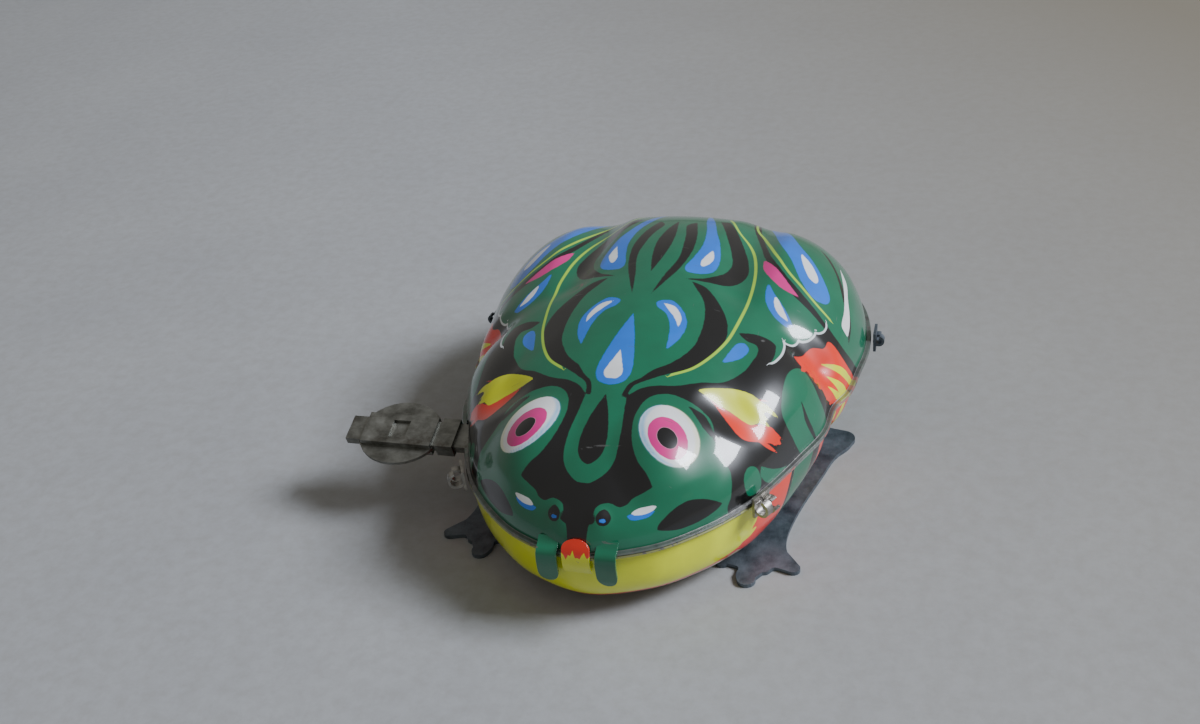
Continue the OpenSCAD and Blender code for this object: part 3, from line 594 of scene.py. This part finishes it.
def finish_of(name, colours):
    """Material of a name, made once."""
    if name in MATERIALS:
        return MATERIALS[name]
    recipes = {
        "bare_tin": lambda: metal(name, "#7f7d78", "#bdbab3", 0.34, 900),
        "blackened_steel": lambda: metal(name, "#434b53", "#727c85", 0.42, 420, (1.0, 0.3, 1.0), metallic=0.6),
        "worn_steel": lambda: metal(name, "#7b7f82", "#b4b7b8", 0.34, 700),
        "key_steel": lambda: metal(name, "#6d6e69", "#a9aaa4", 0.42, 380, (0.35, 1.0, 1.0), "#5a5248"),
        "spring_steel": lambda: metal(name, "#3d4249", "#77808a", 0.3, 800),
        "brass": lambda: metal(name, "#9a7a3a", "#c9a961", 0.32, 600),
        "steel": lambda: metal(name, "#8a8c8c", "#bfc1c0", 0.3, 700),
    }
    MATERIALS[name] = printed_tin(colours) if name == "printed_tin" else recipes[name]()
    return MATERIALS[name]


# ---- Making pieces -----------------------------------------------------------------------------


def tidy_selection():
    if bpy.context.object and bpy.context.object.mode != "OBJECT":
        bpy.ops.object.mode_set(mode="OBJECT")
    bpy.ops.object.select_all(action="DESELECT")


def only(piece):
    """Makes a piece the only selected one."""
    tidy_selection()
    piece.select_set(True)
    bpy.context.view_layer.objects.active = piece


def face_mode():
    bpy.context.tool_settings.mesh_select_mode = (False, False, True)


def keep_layer(piece, name, values):
    """Stores one number per vertex."""
    layer = piece.data.attributes.new(name, "FLOAT", "POINT")
    layer.data.foreach_set("value", values.astype(np.float32))


def select_faces(piece, chosen):
    """Selects faces by a list of true and false, from object mode."""
    piece.data.polygons.foreach_set("select", chosen)
    flags = np.zeros(len(piece.data.edges), bool)
    piece.data.edges.foreach_set("select", flags)


def face_middles(piece):
    middles = np.empty(len(piece.data.polygons) * 3)
    piece.data.polygons.foreach_get("center", middles)
    return middles.reshape(-1, 3) * 1000


def cut_slot(piece, x):
    """Cuts one leg slot through both walls of the belly and closes its rim."""
    low, high = (x - 0.85, 1.0), (x + 0.85, 13.0)
    for axis, place in ((0, low[0]), (0, high[0]), (1, low[1]), (1, high[1])):
        only(piece)
        middle = face_middles(piece)
        near = ((np.abs(middle[:, 0] - x) < 4) & (middle[:, 1] > -2) & (middle[:, 1] < 16)
                & (middle[:, 2] < 5))
        face_mode()
        select_faces(piece, near)
        bpy.ops.object.mode_set(mode="EDIT")
        spot = [0.0, 0.0, 0.0]
        way = [0.0, 0.0, 0.0]
        spot[axis] = place / 1000
        way[axis] = 1.0
        bpy.ops.mesh.bisect(plane_co=spot, plane_no=way)
        bpy.ops.object.mode_set(mode="OBJECT")
    middle = face_middles(piece)
    inside = ((middle[:, 0] > low[0]) & (middle[:, 0] < high[0]) & (middle[:, 1] > low[1])
              & (middle[:, 1] < high[1]) & (middle[:, 2] < 5))
    face_mode()
    select_faces(piece, inside)
    bpy.ops.object.mode_set(mode="EDIT")
    bpy.ops.mesh.delete(type="FACE")
    bpy.context.tool_settings.mesh_select_mode = (False, True, False)
    bpy.ops.mesh.select_all(action="DESELECT")
    bpy.ops.mesh.select_non_manifold(extend=False, use_wire=False, use_multi_face=False,
                                     use_non_contiguous=False, use_verts=False)
    bpy.ops.mesh.bridge_edge_loops()
    bpy.ops.object.mode_set(mode="OBJECT")


def pressed_shell(name, skin, rows, inner_rows, lip, rays, sizes):
    """Thin pressed half of the body as one closed sheet: outer wall, rolled lip and inner wall.

    The grid comes from a primitive; its corners are set by the same formulas as the structure,
    since no brush or extrusion gives that surface.
    """
    count = len(rows) + len(lip) + len(inner_rows)
    tidy_selection()
    bpy.ops.mesh.primitive_grid_add(x_subdivisions=rays, y_subdivisions=count - 1, size=2, calc_uvs=True)
    piece = bpy.context.object
    piece.name = name
    mesh = piece.data
    flat = np.empty(len(mesh.vertices) * 3)
    mesh.vertices.foreach_get("co", flat)
    flat = flat.reshape(-1, 3)
    ray = np.rint((flat[:, 0] + 1) / 2 * rays).astype(int)
    row = np.rint((flat[:, 1] + 1) / 2 * (count - 1)).astype(int)
    share = np.arange(rays + 1) / rays
    seam = outline_point(share, sizes)
    way = seam - (0, sizes.pole * 1000)
    reach = np.hypot(way[:, 0], way[:, 1])
    step = np.hypot(*np.diff(seam, axis=0).T)
    along = np.concatenate([[0], np.cumsum(step)])
    along = np.where(along > along[-1] / 2, along - along[-1], along)
    grid = np.empty((count, rays + 1, 3))
    art = np.zeros((count, rays + 1, 2))
    edge = np.full((count, rays + 1), REACH)
    upper = skin is upper_skin
    for k, a in enumerate(rows):
        grid[k] = skin(way, a, 0, sizes)
        if upper:
            art[k] = way * (a / 90) + (0, sizes.pole * 1000)
        else:
            art[k] = np.column_stack([along, grid[k][:, 2]])
        aside = np.hypot(*(grid[k][:, :2] - seam).T)
        edge[k] = np.minimum(REACH, aside + np.abs(grid[k][:, 2] - sizes.seam * 1000))
    for k, (wide, z) in enumerate(lip, len(rows)):
        flange = way * (1 + wide / reach)[:, None] + (0, sizes.pole * 1000)
        grid[k] = np.column_stack([flange, np.full(rays + 1, z)])
        art[k] = art[len(rows) - 1]
        edge[k] = -REACH
    for k, a in enumerate(inner_rows, len(rows) + len(lip)):
        grid[k] = skin(way, a, TIN + INNER_SET, sizes)
        art[k] = art[len(rows) - 1]
        edge[k] = -REACH
    place = grid[row, ray]
    # Round hole for the winding stem on the right side
    y, z, radius = KEY_HOLE
    off = np.hypot(place[:, 1] - y, place[:, 2] - z)
    right_side = place[:, 0] < -14
    snap = right_side & (np.abs(off - radius) < 0.28)
    place[snap, 1] = y + (place[snap, 1] - y) * radius / off[snap]
    place[snap, 2] = z + (place[snap, 2] - z) * radius / off[snap]
    off[snap] = radius
    gone = right_side & (off <= radius)
    mesh.vertices.foreach_set("co", (place / 1000).ravel())
    art_points = art[row, ray]
    mirrored = np.column_stack([np.abs(art_points[:, 0]), art_points[:, 1]])
    layers = print_layers(mirrored, UPPER_PRINT if upper else LOWER_PRINT, "green" if upper else None)
    if upper:
        single = print_layers(art_points, [p for p in UPPER_PRINT if p[0] == "bare"], None)
        layers["bare"] = single["bare"]
        cool = np.maximum(area_distance(mirrored, oval(EYE, EYE_SIZE, EYE_LEAN)),
                          -area_distance(mirrored, oval((7.45, -16.95), (4.5, 2.6), EYE_LEAN)))
        warm = np.maximum(area_distance(mirrored, oval(EYE, EYE_SIZE, EYE_LEAN)),
                          -area_distance(mirrored, oval((6.6, -17.0), (4.5, 2.6), EYE_LEAN)))
        lime = [line_distance(mirrored, path) for path in (LIME_LINE, THIGH_LINE)]
        pale = [line_distance(mirrored, SCALLOP_LINE)]
    else:
        cool = warm = np.full(len(place), REACH)
        lime = pale = [(cool, cool)]
    for word, found in (("lime", lime), ("pale", pale)):
        across, plain = found[0]
        for more_across, more_plain in found[1:]:
            across = np.where(more_plain < plain, more_across, across)
            plain = np.minimum(plain, more_plain)
        keep_layer(piece, "across_" + word, across)
        keep_layer(piece, "near_" + word, plain)
    keep_layer(piece, "tint_cool", cool)
    keep_layer(piece, "tint_warm", warm)
    rim = edge[row, ray]
    layers["bare"] = np.minimum(layers["bare"], np.where(rim < 0, -REACH, REACH))
    for ink in INKS:
        keep_layer(piece, "ink_" + ink, layers[ink])
    keep_layer(piece, "rim", np.maximum(rim, 0))
    # Take out the faces of the key hole, then close the sheet along its one open side
    corners = np.empty(len(mesh.loops), int)
    mesh.loops.foreach_get("vertex_index", corners)
    uv = (art_points / 100 + 0.5)[corners]
    mesh.uv_layers[0].data.foreach_set("uv", uv.ravel())
    chosen = gone[corners].reshape(-1, 4).all(axis=1)
    only(piece)
    face_mode()
    select_faces(piece, chosen)
    bpy.ops.object.mode_set(mode="EDIT")
    if chosen.any():
        bpy.ops.mesh.delete(type="FACE")
    bpy.ops.mesh.select_all(action="SELECT")
    bpy.ops.mesh.remove_doubles(threshold=2e-7)
    bpy.ops.mesh.normals_make_consistent(inside=False)
    bpy.ops.object.mode_set(mode="OBJECT")
    return piece


def strap(name, path, half_widths, x, thickness):
    """Bent strip of sheet that follows a path in Y and Z (mm), with a half width at every step."""
    steps = len(path) - 1
    across = 12
    tidy_selection()
    bpy.ops.mesh.primitive_grid_add(x_subdivisions=across, y_subdivisions=steps, size=2, calc_uvs=True)
    piece = bpy.context.object
    piece.name = name
    for vertex in piece.data.vertices:
        row = round((vertex.co.y + 1) / 2 * steps)
        y, z = path[row]
        vertex.co = ((x + vertex.co.x * half_widths[row]) / 1000, y / 1000, z / 1000)
    wall = piece.modifiers.new("sheet", "SOLIDIFY")
    wall.thickness = thickness / 1000
    wall.offset = 0
    wall.material_offset_rim = 1
    bpy.ops.object.modifier_apply(modifier=wall.name)
    ease = piece.modifiers.new("eased_edges", "BEVEL")
    ease.width = 0.00005
    ease.segments = 2
    ease.limit_method = "ANGLE"
    ease.material = 1
    return piece


def flat_layers(piece, inks, ground):
    """Plain ink layers for a small printed piece: whole piece in the ground ink."""
    count = len(piece.data.vertices)
    for ink in INKS:
        keep_layer(piece, "ink_" + ink, np.full(count, -REACH if ink == ground else REACH))
    for word in ("across_lime", "near_lime", "across_pale", "near_pale", "tint_cool", "tint_warm"):
        keep_layer(piece, word, np.full(count, REACH))
    keep_layer(piece, "rim", np.full(count, 0.5))
    for ink, values in inks.items():
        data = piece.data.attributes["ink_" + ink].data
        data.foreach_set("value", values.astype(np.float32))


def finish_strap(piece, context, inks, ground):
    """Prints a strap, leaves its cut edge bare and hangs it on the body."""
    flat_layers(piece, inks, ground)
    piece.data.materials.append(finish_of("printed_tin", inks_of(context)))
    piece.data.materials.append(finish_of("bare_tin", None))
    smooth_by_angle(piece, 50)
    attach(piece, "body")


def ease_node(name, width, worn):
    """Rounds the sharp edges of a kept structure node and gives the rounded rims a worn finish."""
    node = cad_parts[name]
    ease = node.modifiers.new("eased_edges", "BEVEL")
    ease.width = width / 1000
    ease.segments = 2
    ease.limit_method = "ANGLE"
    ease.angle_limit = math.radians(40)
    ease.use_clamp_overlap = True
    if worn:
        node.data.materials.append(worn)
        ease.material = len(node.data.materials) - 1


def dress(name, material):
    """Gives every slot of a kept node one finish."""
    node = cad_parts[name]
    if not node.data.materials:
        node.data.materials.append(material)
    for slot in node.material_slots:
        slot.material = material


def smooth_by_angle(piece, degrees=40):
    only(piece)
    bpy.ops.object.shade_smooth_by_angle(angle=math.radians(degrees))


# ---- Settings ----------------------------------------------------------------------------------


def colour_setting(name, words, hex_colour):
    return FloatVectorProperty(name=name, description=words, subtype="COLOR", size=3, min=0, max=1,
                               default=tone(hex_colour)[:3])


def length_setting(name, words, value):
    return FloatProperty(name=name, description=words, unit="LENGTH", default=value, min=0)


class FrogSizes(bpy.types.PropertyGroup):
    half_width: length_setting("Half width", "Half width of the body at the seam", 0.0293)
    half_length: length_setting("Half length", "Half length of the body at the seam", 0.039)
    pole: length_setting("Crown place", "Distance of the crown behind the middle", 0.008)
    seam: length_setting("Seam height", "Height of the seam over the floor", 0.0112)
    back_height: length_setting("Back height", "Height of the back over the seam", 0.0164)
    hump_height: length_setting("Hump height", "How much higher the rear is", 0.0029)
    belly_gap: length_setting("Belly gap", "Gap between belly and floor", 0.00095)


class FrogColours(bpy.types.PropertyGroup):
    green: colour_setting("Green", "Ink of the body", "#016a4a")
    black: colour_setting("Black", "Key ink", "#0c0d0f")
    red: colour_setting("Red", "Ink of the flames", "#f0321a")
    yellow: colour_setting("Yellow", "Ink of the chin", "#e6ee00")
    blue: colour_setting("Blue", "Ink of the drops", "#1273dc")
    white: colour_setting("White", "White of eyes and drops", "#eef0f0")
    pink: colour_setting("Pink", "Ink of the irises", "#d92a86")


def inks_of(context):
    colours = context.scene.frog_colours
    return {ink: tuple(getattr(colours, ink)) for ink in INKS[:-1]}


# ---- Operators ---------------------------------------------------------------------------------


class FROG_OT_upper_shell(bpy.types.Operator):
    """Printed upper shell with its two nose tabs"""
    bl_idname = "frog.upper_shell"
    bl_label = "Upper shell"

    def execute(self, context):
        sizes = context.scene.frog_sizes
        rows = [90 * (k / 155) ** 1.25 for k in range(155)]
        z = sizes.seam * 1000 + LIP_GAP
        lip = [(0.02, z + TIN + 0.1), (0.1, z + TIN), (LIP - 0.12, z + TIN), (LIP, z + TIN / 2),
               (LIP - 0.12, z), (-TIN, z)]
        inner = [88, 84, 78, 70, 62, 54, 46, 38, 30, 22, 12, 0]
        piece = pressed_shell("upper_shell_print", upper_skin, rows, inner, lip, 560, sizes)
        piece.data.materials.append(finish_of("printed_tin", inks_of(context)))
        smooth_by_angle(piece, 50)
        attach(piece, "body")
        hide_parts("upper_shell")
        # Nose tabs bent over the lip and down over the lower half
        seam = sizes.seam * 1000
        front = -sizes.half_length * 1000 - LIP - 0.3
        path = flowing([(front + 2.0, seam + 1.7), (front + 1.2, seam + 1.05), (front + 0.35, seam + 0.6),
                        (front, seam), (front - 0.1, seam - 1.2), (front + 0.1, seam - 3.2)],
                       closed=False, steps=6)
        path = np.vstack([path, [(front + 0.1 + 0.02 * k, seam - 3.2 - 0.09 * k) for k in range(1, 9)]])
        drop = np.maximum(0, path[:, 1] - path[-1, 1])
        half = [1.35 * math.sqrt(max(0.004, 1 - max(0, 1 - d / 1.5) ** 2)) for d in drop]
        for side in (-1, 1):
            tab = strap("nose_tab_" + ("left" if side > 0 else "right"), path, half, side * 3.85, TIN)
            finish_strap(tab, context, {}, "green")
        return {"FINISHED"}


class FROG_OT_lower_shell(bpy.types.Operator):
    """Printed lower shell with its short tongue at the nose"""
    bl_idname = "frog.lower_shell"
    bl_label = "Lower shell"

    def execute(self, context):
        sizes = context.scene.frog_sizes
        rows = [90 * (1 - (1 - k / 62) ** 1.5) for k in range(62)] + [89.2, 89.7]
        z = sizes.seam * 1000 - LIP_GAP
        lip = [(0.02, z - TIN - 0.1), (0.1, z - TIN), (LIP - 0.12, z - TIN), (LIP, z - TIN / 2),
               (LIP - 0.12, z), (-TIN, z)]
        inner = [88, 84, 78, 70, 60, 48, 34, 18, 0]
        piece = pressed_shell("lower_shell_print", lower_skin, rows, inner, lip, 560, sizes)
        for x in SLOTS:
            cut_slot(piece, x)
        piece.data.materials.append(finish_of("printed_tin", inks_of(context)))
        smooth_by_angle(piece, 50)
        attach(piece, "body")
        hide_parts("lower_shell")
        # Tongue that stands up over the seam between the nose tabs
        seam = sizes.seam * 1000
        front = -sizes.half_length * 1000 - LIP - 0.3
        path = flowing([(front + 0.5, seam - 2.4), (front + 0.05, seam - 1.2), (front, seam),
                        (front + 0.35, seam + 1.1), (front + 1.1, seam + 2.3)], closed=False, steps=8)
        rest = np.maximum(0, path[-1, 1] - path[:, 1])
        half = [1.8 * math.sqrt(max(0.03, 1 - max(0, 1 - d / 1.1) ** 2)) for d in rest]
        tongue = strap("nose_tongue", path, half, 0, TIN)
        height = np.array([v.co.z * 1000 - seam for v in tongue.data.vertices])
        side = np.array([v.co.x * 1000 for v in tongue.data.vertices])
        yellow = height - 0.5 + 0.4 * np.sin(side * 4.1) + 0.3 * np.sin(side * 9.3 + 1)
        finish_strap(tongue, context, {"yellow": yellow}, "red")
        return {"FINISHED"}


class FROG_OT_metal_parts(bpy.types.Operator):
    """Finishes of the clips, legs, key and wind-up motor"""
    bl_idname = "frog.metal_parts"
    bl_label = "Metal parts"

    def execute(self, context):
        groups = {
            "bare_tin": ("clip_front_left", "clip_front_right", "motor_foot_front", "motor_foot_rear",
                         "foot_rivets"),
            "blackened_steel": ("leg_frame", "clip_rear_left", "clip_rear_right"),
            "key_steel": ("key_blade", "winding_arbor"),
            "spring_steel": ("mainspring", "click_spring", "leg_return_spring", "governor_fly"),
            "brass": ("great_gear", "second_gear", "third_gear", "second_pinion", "fly_pinion",
                      "ratchet_wheel"),
        }
        dressed = {}
        for finish, names in groups.items():
            for name in names:
                dressed[name] = finish
        worn = finish_of("worn_steel", None)
        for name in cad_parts:
            if name in ("upper_shell", "lower_shell"):
                continue
            dress(name, finish_of(dressed.get(name, "steel"), None))
        for name, width in (("leg_frame", 0.12), ("key_blade", 0.1), ("clip_front_left", 0.08),
                            ("clip_front_right", 0.08), ("clip_rear_left", 0.08), ("clip_rear_right", 0.08)):
            ease_node(name, width, worn)
        return {"FINISHED"}


class FROG_OT_stage(bpy.types.Operator):
    """Floor, window light, room light and camera"""
    bl_idname = "frog.stage"
    bl_label = "Stage"

    def execute(self, context):
        tidy_selection()
        bpy.ops.mesh.primitive_plane_add(size=4, location=(0, 0, 0))
        floor = context.object
        floor.name = "floor"
        floor.data.materials.append(floor_paper())
        window = Vector((1.0, 0.15, 0.85))
        bpy.ops.object.light_add(type="AREA", location=window)
        lamp = context.object
        lamp.name = "window"
        lamp.data.shape = "RECTANGLE"
        lamp.data.size = 0.5
        lamp.data.size_y = 0.42
        lamp.data.energy = 27.0
        lamp.data.color = tone("#eef3ff")[:3]
        lamp.rotation_euler = (-window).to_track_quat("-Z", "Y").to_euler()
        world = bpy.data.worlds.new("room_light")
        world.use_nodes = True
        world.node_tree.nodes["Background"].inputs["Color"].default_value = tone("#bdbab4")
        world.node_tree.nodes["Background"].inputs["Strength"].default_value = 0.5
        context.scene.world = world
        # Camera: place and aim in millimetres, roll in degrees
        place = Vector((49.192, -160.916, 118.472)) / 1000
        aim = Vector((1.625, -26.888, 31.973)) / 1000
        bpy.ops.object.camera_add(location=place)
        camera = context.object
        camera.name = "camera"
        camera.data.lens = 40.48
        camera.data.sensor_width = 36
        camera.data.clip_start = 0.01
        forward = (aim - place).normalized()
        right = forward.cross(Vector((0, 0, 1))).normalized()
        up = right.cross(forward)
        roll = math.radians(-6.777)
        side = right * math.cos(roll) + up * math.sin(roll)
        head = up * math.cos(roll) - right * math.sin(roll)
        turned = Matrix((side, head, -forward)).transposed().to_4x4()
        camera.matrix_world = Matrix.Translation(place) @ turned
        context.scene.camera = camera
        return {"FINISHED"}


class FROG_PT_panel(bpy.types.Panel):
    """Sizes, inks and steps of the frog"""
    bl_label = "Tin frog"
    bl_idname = "FROG_PT_panel"
    bl_space_type = "VIEW_3D"
    bl_region_type = "UI"
    bl_category = "Tin frog"

    def draw(self, context):
        for group in (context.scene.frog_sizes, context.scene.frog_colours):
            for key in group.__annotations__:
                self.layout.prop(group, key)
        for step in STEPS:
            self.layout.operator(step.bl_idname)


STEPS = (FROG_OT_upper_shell, FROG_OT_lower_shell, FROG_OT_metal_parts, FROG_OT_stage)
CLASSES = (FrogSizes, FrogColours) + STEPS + (FROG_PT_panel,)


def register():
    for cls in CLASSES:
        bpy.utils.register_class(cls)
    bpy.types.Scene.frog_sizes = PointerProperty(type=FrogSizes)
    bpy.types.Scene.frog_colours = PointerProperty(type=FrogColours)


def unregister():
    del bpy.types.Scene.frog_sizes
    del bpy.types.Scene.frog_colours
    for cls in reversed(CLASSES):
        bpy.utils.unregister_class(cls)


def main():
    register()
    bpy.ops.frog.stage()
    bpy.ops.frog.upper_shell()
    bpy.ops.frog.lower_shell()
    bpy.ops.frog.metal_parts()
    tidy_selection()


if __name__ == "__main__":
    main()
